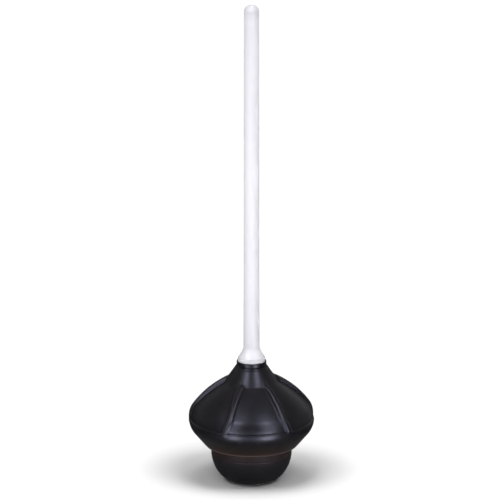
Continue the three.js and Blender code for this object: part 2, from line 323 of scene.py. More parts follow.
def panel_dome(depth):
    """The panels' floor, or a surface at some depth under it."""
    rounding, long_rounding = PANEL_SHOULDER_ROUNDING - depth, PANEL_ROUNDING - depth
    return dome(PANEL_CENTRE, rounding, PANEL_SHOULDER_ANGLE, long_rounding, PANEL_TOP_ANGLE)


def belly():
    """From the crease down the belly and the lower cone to the lip over the waist, and in to the band."""
    lip = (LIP_CENTRE_RADIUS, WAIST_Z + LIP_ROUNDING)
    return joined(
        arc((BELLY_CENTRE_RADIUS, EQUATOR_Z), (BELLY_ROUNDING, BELLY_ROUNDING), 0, -LOWER_CONE_ANGLE, 60),
        arc(lip, (LIP_ROUNDING, LIP_ROUNDING), -LOWER_CONE_ANGLE, -90, 12),
        (BAND_RADIUS + 0.7, WAIST_Z),
    )


def crease_bead():
    """The ledge at the bottom of a panel: a narrow groove, then the rounded top edge of the belly."""
    floor_radius = PANEL_CENTRE + PANEL_SHOULDER_ROUNDING
    edge_radius = BELLY_CENTRE_RADIUS + BELLY_ROUNDING
    centre = (edge_radius - BEAD_ROUNDING, CREASE_Z - BEAD_ROUNDING)
    return joined(
        (floor_radius, CREASE_Z + 0.7),
        (floor_radius - 0.15, CREASE_Z + 0.3),
        (floor_radius - 0.1, CREASE_Z - 0.1),
        arc(centre, (BEAD_ROUNDING, BEAD_ROUNDING - 0.1), 100, 0, 12),
    )


def collar():
    """From the recess that holds the seal, over the collar's lip and its groove, to the neck's shoulder."""
    edge, drop = COLLAR_EDGE, COLLAR_ROUND
    return joined(
        (RECESS_RADIUS, SEAT_Z),
        (RECESS_RADIUS, COLLAR_TOP_Z - edge),
        arc((RECESS_RADIUS + edge, COLLAR_TOP_Z - edge), (edge, edge), 180, 90, 4)[1:],
        arc((COLLAR_RADIUS - edge, COLLAR_TOP_Z - drop), (edge, drop), 90, 0, 6),
        (COLLAR_RADIUS, COLLAR_FOOT_Z),
        arc((COLLAR_RADIUS - 0.9, COLLAR_FOOT_Z - 1.2), (0.9, 1.1), 0, -75, 6),
        (COLLAR_RADIUS - 1.0, COLLAR_GROOVE_Z),
        arc((COLLAR_RADIUS - 0.6, COLLAR_GROOVE_Z - 1.7), (1.95, 1.25), 92, 8, 10),
        (NECK_RADIUS + 0.02, NECK_SHOULDER_Z),
    )


def bulb():
    """The band under the waist, the bulb and the flat rim."""
    centre = (RIM_RADIUS, BULB_CENTRE_Z)
    start = -math.degrees(math.asin((BULB_CENTRE_Z - BAND_BOTTOM_Z) / BULB_CENTRE_Z))
    lip = (MOUTH_RADIUS + RIM_THICKNESS / 2, RIM_THICKNESS / 2)
    band_foot = BAND_RADIUS - BAND_DRAFT
    return joined(
        (BAND_RADIUS + 0.15, WAIST_Z - 0.15),
        (BAND_RADIUS, WAIST_Z - 0.7),
        (band_foot, BAND_BOTTOM_Z + 0.9),
        (band_foot - BAND_STEP, BAND_BOTTOM_Z + 0.4),
        arc(centre, (BULB_RADIUS - RIM_RADIUS, BULB_CENTRE_Z), start, -90, 60),
        arc(lip, (RIM_THICKNESS / 2, RIM_THICKNESS / 2), -90, -270, 12),
    )


def hollow():
    """The inside, from the mouth up to the boss round the insert."""
    across = BULB_RADIUS - RIM_RADIUS - RIM_THICKNESS
    inner = BELLY_ROUNDING - WALL
    return joined(
        arc((RIM_RADIUS, BULB_CENTRE_Z), (across, BULB_CENTRE_Z - RIM_THICKNESS), -88, 0, 30),
        (RIM_RADIUS + across, WAIST_Z - 2.5),
        arc((BELLY_CENTRE_RADIUS, EQUATOR_Z), (inner, inner), -LOWER_CONE_ANGLE, -8, 24),
        panel_dome(WALL)[::-1],
        (BOSS_RADIUS + BOSS_GROOVE, NECK_CEILING_Z),
        (BOSS_RADIUS + BOSS_EDGE, NECK_CEILING_Z - BOSS_EDGE),
        (BOSS_RADIUS, BOSS_BOTTOM_Z + BOSS_EDGE),
        (BOSS_RADIUS - BOSS_EDGE, BOSS_BOTTOM_Z),
    )


def pocket():
    """The pocket round the insert, from its floor near the axis up to the seal's seat."""
    radius = INSERT_RADIUS + GAP
    points = [(0.5, INSERT_BOTTOM_Z - GAP), (radius, INSERT_BOTTOM_Z - GAP)]
    for height in BARB_HEIGHTS_Z:
        points.append((radius, height - GAP))
        points.append((radius + BARB_HEIGHT, height + BARB_HEIGHT))
        points.append((radius, height + 2 * BARB_HEIGHT + GAP))
    points.append((radius, SEAT_Z))
    return np.array(points)


def cup_outline():
    """The whole outline from the pocket over the collar, down the outside and up the inside.

    It gives the points, how far a rib's crest rises over each one, and the zone that each one is in.
    """
    floor_path = softened(joined(neck_cone(NECK_TO_PANEL_ANGLE), panel_dome(0)[1:]), rounding=0.8)
    crest_path = softened(joined(neck_cone(NECK_TO_DOME_ANGLE), crest_dome()[1:]), rounding=2.2)
    crest_radius = crest_path[-1, 0]
    crest_path = joined(crest_path, (crest_radius, RIB_TIP_Z - 2))
    panel = spaced(floor_path[floor_path[:, 1] > CREASE_Z + PANEL_END], step=1.15)
    panel_rise = reach_to(panel, normals_of(panel), crest_path)
    panel_rise *= eased(panel_rise / RIB_FULL_RISE)
    # The bead runs on from the panel and meets the belly a little below the crease.
    below_bead = belly()[3:]
    bead = softened(joined(panel[-1], crease_bead(), below_bead[0]), rounding=0.5)[1:-1]
    zones = {
        POCKET: resampled(pocket(), rounding=0.15, step=1.0),
        COLLAR: resampled(collar(), rounding=0.12, step=0.35),
        PANEL: panel,
        BEAD: spaced(bead, step=0.4),
        BELLY: resampled(below_bead, rounding=0.5, step=1.2),
        BULB: resampled(bulb(), rounding=0.2, step=0.6),
        HOLLOW: resampled(hollow(), rounding=1.0, step=2.4),
    }
    outline = np.vstack(list(zones.values()))
    zone = np.concatenate([np.full(len(points), number) for number, points in zones.items()])
    rise = np.zeros(len(outline))
    rise[zone == PANEL] = panel_rise
    for number in (BEAD, BELLY):
        rise[zone == number] = np.maximum(0.0, crest_radius - zones[number][:, 0])
    return outline, rise, zone


# ---------------------------------------------------------------- meshes

def material_slot(obj, material):
    """Gives a piece its slot and its only material."""
    obj.data.materials.clear()
    obj.data.materials.append(material)


def linked_object(name, data):
    """A new object in the scene with a mesh, a light or a camera in it."""
    obj = bpy.data.objects.new(name, data)
    bpy.context.scene.collection.objects.link(obj)
    return obj


def new_mesh(name, vertices, faces):
    """A smooth mesh from vertices in millimetres."""
    mesh = bpy.data.meshes.new(name)
    mesh.from_pydata([tuple(v) for v in np.asarray(vertices) * MM], [], faces)
    mesh.update()
    mesh.shade_smooth()
    return linked_object(name, mesh)


def outward(obj):
    """Turns every face outwards."""
    work = bmesh.new()
    work.from_mesh(obj.data)
    bmesh.ops.recalc_face_normals(work, faces=work.faces)
    if work.calc_volume(signed=True) < 0:
        bmesh.ops.reverse_faces(work, faces=work.faces)
    work.to_mesh(obj.data)
    work.free()
    return obj


def grid_points(radii, heights, angles):
    """Points round the axis, with angles from -Y towards +X."""
    return np.stack([radii * np.sin(angles), -radii * np.cos(angles), heights], axis=2).reshape(-1, 3)


def grid_faces(rows, columns, loop_rows):
    """Quads between neighbouring rows of points, closed round the axis.

    With loop_rows, the last row joins the first.
    """
    faces = []
    last = rows if loop_rows else rows - 1
    for row in range(last):
        here, there = row * columns, ((row + 1) % rows) * columns
        for column in range(columns):
            beside = (column + 1) % columns
            faces.append((here + column, there + column, there + beside, here + beside))
    return faces


def capped(faces, rows, columns, vertices, low_point, high_point):
    """Closes the first and the last row of points with a fan to a point on the axis."""
    first, last = len(vertices), len(vertices) + 1
    final_row = (rows - 1) * columns
    for column in range(columns):
        beside = (column + 1) % columns
        faces.append((first, column, beside))
        faces.append((last, final_row + beside, final_row + column))
    return np.vstack([vertices, low_point, high_point]), faces


def lathe(name, outline, shape=None):
    """A ring from a closed outline, or a solid from one that starts and ends on the axis.

    shape(radii, heights, angles) may change the radii.
    """
    angles = np.linspace(0, 2 * np.pi, SEGMENTS, endpoint=False)
    solid = abs(outline[0, 0]) < 1e-6 and abs(outline[-1, 0]) < 1e-6
    body = outline[1:-1] if solid else outline
    radii = np.repeat(body[:, :1], SEGMENTS, axis=1)
    heights = np.repeat(body[:, 1:], SEGMENTS, axis=1)
    turned = np.repeat(angles[None, :], len(body), axis=0)
    if shape:
        radii = shape(radii, heights, turned)
    points = grid_points(radii, heights, turned)
    faces = grid_faces(len(body), SEGMENTS, not solid)
    if solid:
        ends = [(0, 0, outline[0, 1]), (0, 0, outline[-1, 1])]
        points, faces = capped(faces, len(body), SEGMENTS, points, *ends)
    return outward(new_mesh(name, points, faces))


# ---------------------------------------------------------------- the rubber cup

def is_front_rib(azimuth):
    return abs((azimuth + 180) % 360 - 180) < FRONT_RIB_LIMIT


def rib_path(azimuth, heights):
    """A rib's azimuth at some heights, in radians. The front pair spreads towards its tips."""
    if not is_front_rib(azimuth):
        return np.full(len(heights), math.radians(azimuth))
    share = eased((RIB_SPREAD_Z - heights) / (RIB_SPREAD_Z - RIB_TIP_Z)) - RIB_SPREAD_INWARDS
    return np.radians(azimuth + math.copysign(1, azimuth) * (RIB_SPREAD * share))


def past_tip(outline, zone):
    """How far each point is into the ribs' round tips: 0 where they start, and 1 where they end."""
    past = np.clip((RIB_TIP_Z + RIB_TIP_ROUNDING - outline[:, 1]) / RIB_TIP_ROUNDING, 0, None)
    return np.where((zone >= PANEL) & (zone <= BELLY), past, 0)


def rib_column(outline, rise, past, azimuth, offset):
    """A column at an offset from a rib's middle: its angles, its shares of the rise, and its edge mark,
    where a highlight is painted.
    """
    heights = outline[:, 1]
    angle = rib_path(azimuth, heights) + np.arcsin(offset / np.maximum(outline[:, 0], COLUMN_RADIUS_LIMIT))
    half_width = RIB_HALF_WIDTH * np.sqrt(np.clip(1 - past ** 2, 0, 1))
    depth_in = np.where(past < 1, half_width - abs(offset), RIB_SECTION_IN[0])
    share = np.interp(depth_in, RIB_SECTION_IN, RIB_SECTION_UP)
    if is_front_rib(azimuth):
        share *= eased((FRONT_RIB_TOP_Z - heights) / FRONT_RIB_FADE)
    edge = np.exp(-((depth_in - RIB_EDGE_IN) / RIB_EDGE_WIDTH) ** 2) * np.clip(rise, 0, 1)
    return angle, share, edge


def panel_column(outline, azimuth, following, across):
    """A column on the floor between two ribs' feet, some share of the way across."""
    foot = np.arcsin((RIB_HALF_WIDTH + RIB_FOOT) / np.maximum(outline[:, 0], COLUMN_RADIUS_LIMIT))
    start = rib_path(azimuth, outline[:, 1]) + foot
    end = rib_path(following, outline[:, 1]) - foot
    level = np.zeros(len(outline))
    return start + (end - start) * across, level, level


def cup_columns(outline, rise, past):
    """The columns once round the cup: across each rib, and then across the panel that follows it."""
    offsets = [-(RIB_HALF_WIDTH - depth) for depth in RIB_SECTION_IN]
    offsets += [RIB_HALF_WIDTH - depth for depth in RIB_SECTION_IN[-2::-1]]
    columns = []
    for azimuth, following in zip(RIB_AZIMUTHS, RIB_AZIMUTHS[1:] + [RIB_AZIMUTHS[0] + 360]):
        columns += [rib_column(outline, rise, past, azimuth, offset) for offset in offsets]
        shares = [k / PANEL_COLUMNS for k in range(1, PANEL_COLUMNS)]
        columns += [panel_column(outline, azimuth, following, share) for share in shares]
    return columns


def rubber_cup():
    """The whole moulding as one closed grid.

    On the panels the ribs rise along the floor's normals, and on the bead and the belly straight outwards.
    """
    outline, rise, zone = cup_outline()
    directions = normals_of(outline)
    directions[(zone == BEAD) | (zone == BELLY)] = (1.0, 0.0)
    columns = cup_columns(outline, rise, past_tip(outline, zone))
    angles, shares, edges = (np.array(values).T for values in zip(*columns))
    lift = rise[:, None] * shares
    radii = outline[:, :1] + directions[:, :1] * lift
    heights = outline[:, 1:] + directions[:, 1:] * lift
    points = grid_points(radii, heights, angles)
    faces = grid_faces(len(outline), len(columns), False)
    ends = [(0, 0, INSERT_BOTTOM_Z - GAP), (0, 0, BOSS_BOTTOM_Z)]
    points, faces = capped(faces, len(outline), len(columns), points, *ends)
    cup = outward(new_mesh("cup_rubber", points, faces))
    # The ribs' edge marks, where the rubber's colour takes a painted highlight.
    mark = cup.data.attributes.new("rib_edge", "FLOAT", "POINT")
    mark.data.foreach_set("value", np.r_[edges.ravel(), 0, 0].astype(np.float32))
    return cup


# ---------------------------------------------------------------- the handle and the screw joint

def thread(sign, wall, crest_radius, start_z, turns, ridge):
    """A shape for a lathe, with a screw ridge on a wall: outwards for sign 1, and inwards for sign -1."""
    root_half, crest_half = ridge
    height = sign * abs(crest_radius - wall)

    def shape(radii, heights, angles):
        screw_angle = np.mod(angles - math.pi / 2, 2 * math.pi)
        on_wall = np.abs(radii - wall) < 1e-3
        best = np.zeros_like(radii)
        for turn in range(-1, int(turns) + 2):
            travelled = screw_angle + 2 * math.pi * turn
            centre = start_z + PITCH * travelled / (2 * math.pi)
            slope = (root_half - np.abs(heights - centre)) / (root_half - crest_half)
            fade = np.clip(np.minimum(travelled, turns * 2 * math.pi - travelled) / (math.pi / 3), 0, 1)
            best = np.maximum(best, np.clip(slope, 0, 1) * fade)
        return radii + np.where(on_wall, height * eased(best), 0)

    return shape


def socket_insert():
    """The barbed insert in the neck, with its threaded socket."""
    radius = INSERT_RADIUS
    floor_z = INSERT_BOTTOM_Z + SOCKET_FLOOR
    outline = [(0, INSERT_BOTTOM_Z), (radius, INSERT_BOTTOM_Z)]
    for height in BARB_HEIGHTS_Z:
        outline.append((radius, height))
        outline.append((radius + BARB_HEIGHT, height + BARB_HEIGHT))
        outline.append((radius, height + 2 * BARB_HEIGHT))
    outline += [(radius, SEAT_Z - EDGE), (radius - EDGE, SEAT_Z), (SOCKET_RADIUS + 2 * EDGE, SEAT_Z)]
    outline += [(SOCKET_RADIUS, z) for z in np.arange(SEAT_Z - 2 * EDGE, floor_z, -THREAD_STEP)]
    outline += [(SOCKET_RADIUS, floor_z), (0, floor_z)]
    start_z = THREAD_START_Z + PITCH / 2
    shape = thread(-1, SOCKET_RADIUS, SOCKET_CREST_RADIUS, start_z, SOCKET_TURNS, SOCKET_RIDGE)
    return lathe("socket_ring", np.array(outline, float), shape)


def seal_washer():
    """The flat ring under the handle's flange."""
    inner = SEAL_BORE_RADIUS + EDGE
    outer = RECESS_RADIUS - GAP - EDGE
    low, high = SEAL_BOTTOM_Z + EDGE, SEAL_TOP_Z - EDGE
    ring = joined(
        arc((inner, low), (EDGE, EDGE), 180, 270, 3),
        arc((outer, low), (EDGE, EDGE), 270, 360, 3),
        arc((outer, high), (EDGE, EDGE), 0, 90, 3),
        arc((inner, high), (EDGE, EDGE), 90, 180, 3),
    )
    return lathe("seal_ring", ring)


def flange_bead(flange_low):
    """The flange's rounded edges and the small groove under the flare."""
    edge, bead = FLANGE_EDGE, FLANGE_BEAD
    return joined(
        arc((FLANGE_RADIUS - edge, flange_low + edge), (edge, edge), -90, 0, 4),
        (FLANGE_RADIUS, FLANGE_TOP_Z - 1.6),
        arc((FLANGE_RADIUS - bead, FLANGE_TOP_Z - 0.6), (bead, bead), 0, 80, 6),
        (FLANGE_RADIUS - 1.15, FLANGE_TOP_Z + 0.3),
        (FLANGE_RADIUS - 0.85, FLANGE_TOP_Z + 0.95),
    )


def handle_foot():
    """The threaded spigot, the flange, the flare and the plug that goes up into the tube."""
    flange_low = SEAL_TOP_Z + GAP
    shoulder = TUBE_BOTTOM_Z - GAP
    plug = TUBE_BORE_RADIUS - GAP
    fillet = (FLARE_TOP_RADIUS + FILLET, shoulder)
    trumpet = next_centre(fillet, -FILLET, -TRUMPET, FILLET_ANGLE)
    spigot_rows = np.arange(SPIGOT_BOTTOM_Z + SPIGOT_EDGE, flange_low - THREAD_STEP, THREAD_STEP)
    outline = joined(
        (SPIGOT_BORE_RADIUS, SPIGOT_BOTTOM_Z),
        (CORE_RADIUS - SPIGOT_EDGE, SPIGOT_BOTTOM_Z),
        [(CORE_RADIUS, z) for z in spigot_rows],
        (CORE_RADIUS, flange_low),
        flange_bead(flange_low),
        arc(trumpet, (-TRUMPET, -TRUMPET), TRUMPET_ANGLE, FILLET_ANGLE, 14),
        arc(fillet, (-FILLET, -FILLET), FILLET_ANGLE, 0, 12)[1:],
        (FLARE_TOP_RADIUS - SEAM_INSET, shoulder),
        (plug, shoulder),
        (plug, shoulder + PLUG_LENGTH - PLUG_EDGE),
        (plug - PLUG_EDGE, shoulder + PLUG_LENGTH),
        (SPIGOT_BORE_RADIUS, shoulder + PLUG_LENGTH),
        [(SPIGOT_BORE_RADIUS, z) for z in SPIGOT_BORE_ROWS_Z],
    )
    shape = thread(1, CORE_RADIUS, CREST_RADIUS, THREAD_START_Z, SPIGOT_TURNS, SPIGOT_RIDGE)
    return lathe("handle_flare", outline, shape)


def handle_tube():
    """The long, slightly tapered tube. It is closed up to the flare and to the cap, so no seam shows."""
    bottom = TUBE_BOTTOM_Z - GAP + SEAM_DEPTH
    top = TUBE_TOP_Z + GAP - SEAM_DEPTH
    side = joined((FLARE_TOP_RADIUS, bottom + 0.1), TUBE_TAPER, (TUBE_TOP_RADIUS, top - SEAM_SIDE))
    outline = joined(
        (TUBE_BORE_RADIUS, bottom),
        (FLARE_TOP_RADIUS - SEAM_INSET, bottom),
        spaced(side, step=6.0),
        (TUBE_TOP_RADIUS - SEAM_EDGE, top),
        (TUBE_BORE_RADIUS, top),
        [(TUBE_BORE_RADIUS, z) for z in TUBE_BORE_ROWS_Z],
    )
    return lathe("handle_shaft", outline)


def end_cap():
    """The rounded cap and the hollow plug under it, which goes down into the tube."""
    low = TUBE_TOP_Z + GAP
    plug = TUBE_BORE_RADIUS - GAP
    plug_low = low - CAP_PLUG_LENGTH
    dome_z = low + CAP_SIDE
    top = arc((0, dome_z), (TUBE_TOP_RADIUS, TOP_Z - dome_z), 0, 90, 24)
    top[-1, 0] = 0
    outline = joined(
        (0, low),
        (plug - CAP_PLUG_WALL, low),
        (plug - CAP_PLUG_WALL, plug_low),
        (plug - CAP_PLUG_BEVEL[0], plug_low),
        (plug, plug_low + CAP_PLUG_BEVEL[1]),
        (plug, low),
        (TUBE_TOP_RADIUS - SEAM_EDGE, low),
        (TUBE_TOP_RADIUS, low + SEAM_SIDE),
        top,
    )
    return lathe("handle_cap", outline)


# ---------------------------------------------------------------- nodes

def principled(name, colour, roughness):
    """A material with a plain colour and roughness, which textures may then replace."""
    material = bpy.data.materials.new(name)
    material.use_nodes = True
    tree = material.node_tree
    shader = tree.nodes["Principled BSDF"]
    shader.inputs["Base Color"].default_value = (*colour, 1)
    shader.inputs["Roughness"].default_value = roughness
    return material, tree, shader


def coordinates(tree, space):
    """The X, Y and Z outputs of a texture space."""
    place = tree.nodes.new("ShaderNodeTexCoord")
    parts = tree.nodes.new("ShaderNodeSeparateXYZ")
    tree.links.new(place.outputs[space], parts.inputs["Vector"])
    return [parts.outputs[axis] for axis in "XYZ"]


def object_height(tree):
    """The height in the object's own space, in metres."""
    return coordinates(tree, "Object")[2]


def noise(tree, scale, detail=4.0, roughness=0.55, stretch=(1, 1, 1)):
    """A noise in metres of the object's own space, with scale in features per metre."""
    place = tree.nodes.new("ShaderNodeTexCoord")
    mapping = tree.nodes.new("ShaderNodeMapping")
    mapping.inputs["Scale"].default_value = stretch
    texture = tree.nodes.new("ShaderNodeTexNoise")
    texture.inputs["Scale"].default_value = scale
    texture.inputs["Detail"].default_value = detail
    texture.inputs["Roughness"].default_value = roughness
    tree.links.new(place.outputs["Object"], mapping.inputs["Vector"])
    tree.links.new(mapping.outputs["Vector"], texture.inputs["Vector"])
    return texture.outputs["Fac"]


def ramp(tree, value, low, high):
    """A colour ramp between two stops, each a (position, colour) pair."""
    node = tree.nodes.new("ShaderNodeValToRGB")
    for element, (position, colour) in zip(node.color_ramp.elements, (low, high)):
        element.position = position
        element.color = (*colour, 1)
    tree.links.new(value, node.inputs["Fac"])
    return node.outputs["Color"]


def ranged(tree, value, low, high, to_low, to_high):
    """The value taken from one range to another, and kept inside it."""
    node = tree.nodes.new("ShaderNodeMapRange")
    for key, number in zip(("From Min", "From Max", "To Min", "To Max"), (low, high, to_low, to_high)):
        node.inputs[key].default_value = number
    tree.links.new(value, node.inputs["Value"])
    return node.outputs["Result"]


def math_node(tree, operation, first, second=None):
    """A math operation on values that are outputs or plain numbers."""
    node = tree.nodes.new("ShaderNodeMath")
    node.operation = operation
    for socket, value in zip(node.inputs, (first, second)):
        if isinstance(value, (int, float)):
            socket.default_value = value
        elif value is not None:
            tree.links.new(value, socket)
    return node.outputs["Value"]


def product(tree, first, second):
    return math_node(tree, "MULTIPLY", first, second)


def between(tree, value, low, high, soft):
    """1 between two values, easing to 0 outside them."""
    rising = ranged(tree, value, low - soft, low, 0, 1)
    falling = ranged(tree, value, high, high + soft, 1, 0)
    return product(tree, rising, falling)


def mixed(tree, factor, first, second):
    """A colour mix. first and second are colour outputs or plain colours."""
    node = tree.nodes.new("ShaderNodeMix")
    node.data_type = "RGBA"
    tree.links.new(factor, node.inputs["Factor"])
    colours = [socket for socket in node.inputs if socket.type == "RGBA"]
    for socket, value in zip(colours, (first, second)):
        if isinstance(value, tuple):
            socket.default_value = (*value, 1)
        else:
            tree.links.new(value, socket)
    return next(socket for socket in node.outputs if socket.type == "RGBA")


def shader_mix(tree, factor, first, second):
    node = tree.nodes.new("ShaderNodeMixShader")
    tree.links.new(factor, node.inputs["Fac"])
    tree.links.new(first, node.inputs[1])
    tree.links.new(second, node.inputs[2])
    return node.outputs["Shader"]


def bump(tree, shader, height, distance, strength, below=None):
    """A bump of some distance in metres, over the one below it if there is one."""
    node = tree.nodes.new("ShaderNodeBump")
    node.inputs["Distance"].default_value = distance
    node.inputs["Strength"].default_value = strength
    tree.links.new(height, node.inputs["Height"])
    if below:
        tree.links.new(below, node.inputs["Normal"])
    tree.links.new(node.outputs["Normal"], shader.inputs["Normal"])
    return node.outputs["Normal"]


def emission(tree, strength):
    """A white glow."""
    node = tree.nodes.new("ShaderNodeEmission")
    node.inputs["Strength"].default_value = strength
    return node.outputs["Emission"]


def background(tree, strength):
    """A white background light."""
    node = tree.nodes.new("ShaderNodeBackground")
    node.inputs["Color"].default_value = (1, 1, 1, 1)
    node.inputs["Strength"].default_value = strength
    return node.outputs["Background"]


# ---------------------------------------------------------------- materials

# Heights in metres where the cup's and the handle's materials change, and then their colours.
TINT_STARTS_Z = (0.028, 0.040)
TINT_ENDS_Z = (0.049, 0.066)
# The height of the painted highlight along the lip, and its soft edge.
LIP_HIGHLIGHT_Z = (0.0459, 0.0485)
LIP_HIGHLIGHT_SOFT = 0.0008
DULL_BELOW_Z = (0.044, 0.047)
# Painted shade greys the handle's tip between these heights.
TIP_SHADE_Z = (0.600, 0.616)

RUBBER_DARK = (0.0045, 0.0042, 0.005)
RUBBER_LIGHT = (0.0072, 0.0067, 0.0078)
RUBBER_BLOOM = (0.013, 0.012, 0.0125)
# A painted highlight along the ribs' edges takes this colour.
RIB_EDGE_HIGHLIGHT = (0.045, 0.044, 0.052)
WAIST_BROWN = (0.021, 0.0115, 0.0082)
# A painted highlight along the lip takes this colour.
LIP_HIGHLIGHT_BROWN = (0.085, 0.055, 0.047)
PLASTIC_DARK = (0.715, 0.708, 0.75)
PLASTIC_LIGHT = (0.75, 0.743, 0.783)
PLASTIC_SCUFF = (0.6, 0.59, 0.62)
# Painted shade at the handle's tip takes this colour.
PLASTIC_TIP_SHADE = (0.56, 0.555, 0.59)


def waist_tint_and_lip_highlight(tree, colour):
    """A faint brown tint round the waist, and a painted highlight: a lighter brown line along the lip."""
    height = object_height(tree)
    rising = ranged(tree, height, *TINT_STARTS_Z, 0, 1)
    falling = ranged(tree, height, *TINT_ENDS_Z, 1, 0)
    patches = ranged(tree, noise(tree, 30), 0.3, 0.7, 0.5, 0.9)
    tinted = mixed(tree, product(tree, product(tree, rising, falling), patches), colour, WAIST_BROWN)
    # Painted highlight: a lighter brown line along the lip's edge.
    lip = product(tree, between(tree, height, *LIP_HIGHLIGHT_Z, LIP_HIGHLIGHT_SOFT), 0.85)
    return mixed(tree, lip, tinted, LIP_HIGHLIGHT_BROWN)


def rubber_roughness(tree):
    """The bell has a satin finish. The band and the bulb under the waist are duller."""
    satin = ranged(tree, noise(tree, 120), 0.3, 0.7, 0.29, 0.37)
    duller = ranged(tree, object_height(tree), *DULL_BELOW_Z, 0.2, 0)
    return math_node(tree, "ADD", satin, duller)


def rubber_material():
    """Black rubber, with a pale bloom in patches and a painted highlight along the ribs' edges."""
    material, tree, shader = principled("black_rubber", (0.01, 0.0095, 0.011), 0.35)
    base = ramp(tree, noise(tree, 55, detail=5, roughness=0.6), (0.3, RUBBER_DARK), (0.7, RUBBER_LIGHT))
    patches = ranged(tree, noise(tree, 14, detail=3, roughness=0.5), 0.52, 0.78, 0, 0.3)
    # Painted highlight: the colour lightens along the ribs' edges.
    edge = tree.nodes.new("ShaderNodeAttribute")
    edge.attribute_name = "rib_edge"
    edge_highlight = ranged(tree, edge.outputs["Fac"], 0.1, 0.9, 0, 0.75)
    highlighted = mixed(tree, edge_highlight, mixed(tree, patches, base, RUBBER_BLOOM), RIB_EDGE_HIGHLIGHT)
    tree.links.new(waist_tint_and_lip_highlight(tree, highlighted), shader.inputs["Base Color"])
    tree.links.new(rubber_roughness(tree), shader.inputs["Roughness"])
    fine = noise(tree, 2600, detail=3, roughness=0.6)
    grain = bump(tree, shader, fine, distance=0.00004, strength=0.35)
    waves = noise(tree, 90, detail=3, roughness=0.5)
    bump(tree, shader, waves, distance=0.0006, strength=0.12, below=grain)
    return material


def plastic_material():
    """White plastic with faint scuffs and flow lines along the handle, and painted shade that makes it
    slightly greyer at its tip.
    """
    material, tree, shader = principled("white_plastic", (0.8, 0.795, 0.86), 0.3)
    base = ramp(tree, noise(tree, 9, detail=3, roughness=0.5), (0.35, PLASTIC_DARK), (0.65, PLASTIC_LIGHT))
    streaks = noise(tree, 160, detail=5, roughness=0.7, stretch=(1, 1, 0.06))
    scuffed = mixed(tree, ranged(tree, streaks, 0.66, 0.8, 0, 0.3), base, PLASTIC_SCUFF)
    # Painted shade: the tip of the handle is mixed towards a greyer colour.
    tip_shade = ranged(tree, object_height(tree), *TIP_SHADE_Z, 0, 0.8)
    tree.links.new(mixed(tree, tip_shade, scuffed, PLASTIC_TIP_SHADE), shader.inputs["Base Color"])
    patches = noise(tree, 60, roughness=0.6, stretch=(1, 1, 0.15))
    tree.links.new(ranged(tree, patches, 0.3, 0.7, 0.24, 0.36), shader.inputs["Roughness"])
    flow_lines = noise(tree, 220, detail=3, roughness=0.5, stretch=(1, 1, 0.05))
    flow = bump(tree, shader, flow_lines, distance=0.0001, strength=0.25)
    fine = noise(tree, 1800, detail=2, roughness=0.5)
    bump(tree, shader, fine, distance=0.00002, strength=0.2, below=flow)
    return material


def insert_material():
    """Matt grey plastic with short fibres in it."""
    material, tree, shader = principled("insert_plastic", (0.25, 0.26, 0.28), 0.55)
    fibres = noise(tree, 700, roughness=0.6, stretch=(1, 1, 0.3))
    base = ramp(tree, fibres, (0.35, (0.22, 0.23, 0.25)), (0.65, (0.3, 0.31, 0.33)))
    tree.links.new(base, shader.inputs["Base Color"])
    bump(tree, shader, fibres, distance=0.00008, strength=0.3)
    return material


def seal_material():
    """Dull dark rubber with a fine speckle."""
    material, tree, shader = principled("seal_rubber", (0.05, 0.05, 0.055), 0.65)
    speckle = noise(tree, 900, roughness=0.6)
    base = ramp(tree, speckle, (0.35, (0.04, 0.04, 0.045)), (0.65, (0.07, 0.068, 0.07)))
    tree.links.new(base, shader.inputs["Base Color"])
    bump(tree, shader, speckle, distance=0.00005, strength=0.3)
    return material


# ---------------------------------------------------------------- the object

cup = rubber_cup()
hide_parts("rubber_cup")
material_slot(cup, rubber_material())
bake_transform(cup)

insert = socket_insert()
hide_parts("socket_insert")
material_slot(insert, insert_material())
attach(insert, "neck")

seal = seal_washer()
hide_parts("seal_washer")
material_slot(seal, seal_material())
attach(seal, "seal")

white = plastic_material()
for piece, node in ((handle_foot(), "handle_foot"), (handle_tube(), "handle_tube"), (end_cap(), "end_cap")):
    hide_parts(node)
    material_slot(piece, white)
    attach(piece, "handle")


# ---------------------------------------------------------------- the studio

# The room as it shows in reflections. It brightens from one elevation to another, and it is bluish ahead.
# Each softbox has its azimuths from and to, its elevations from and to, and its strength. The edges are
# soft over some degrees.
ROOM_ELEVATIONS = (-5, 70)
ROOM_STRENGTHS = (0.025, 0.2)
ROOM_NEUTRAL = (1.0, 0.96, 1.02)
ROOM_BLUISH = (0.86, 0.86, 1.16)
BLUISH_AZIMUTHS = (-58, 48)
BLUISH_EDGE = 25
SOFTBOX_SIDE_EDGE = 6
SOFTBOX_END_EDGE = 7
SOFTBOXES = [
    (-46, -38, -13, 56, 3.9),
    (-46, -37, -44, -24, 9.8),
    (-50, -32, 44, 57, 4.0),
    (21, 35, -13, 56, 3.5),
    (18, 34, -44, -24, 9.0),
    (24, 44, 44, 57, 3.0),
    (136, 160, 12, 32, 0.16),
    (-168, -142, 16, 36, 0.12),
    (85, 150, -15, 25, 0.12),
    (-34, 16, -45, -20, 0.7),
    (-88, -56, 40, 62, 0.25),
    (-135, -80, -10, 25, 0.1),
]

# What the camera sees as white, and what lights matt surfaces from all round.
BACKDROP_STRENGTH = 1.05
FILL_STRENGTH = 0.08

# The floor, in metres. It shows shadow near the plunger, which fades out between two distances from a point.
FLOOR_HALF_SIDE = 2.5
SHADOW_CENTRE = (0, 0.04, 0)
SHADOW_FADE = (0.085, 0.15)

# A card of painted shade that the bulb mirrors, in metres.
CARD_CORNERS = 64
CARD_RADIUS = 0.155
CARD_HEIGHT = 0.0002
CARD_STRENGTH = 0.085

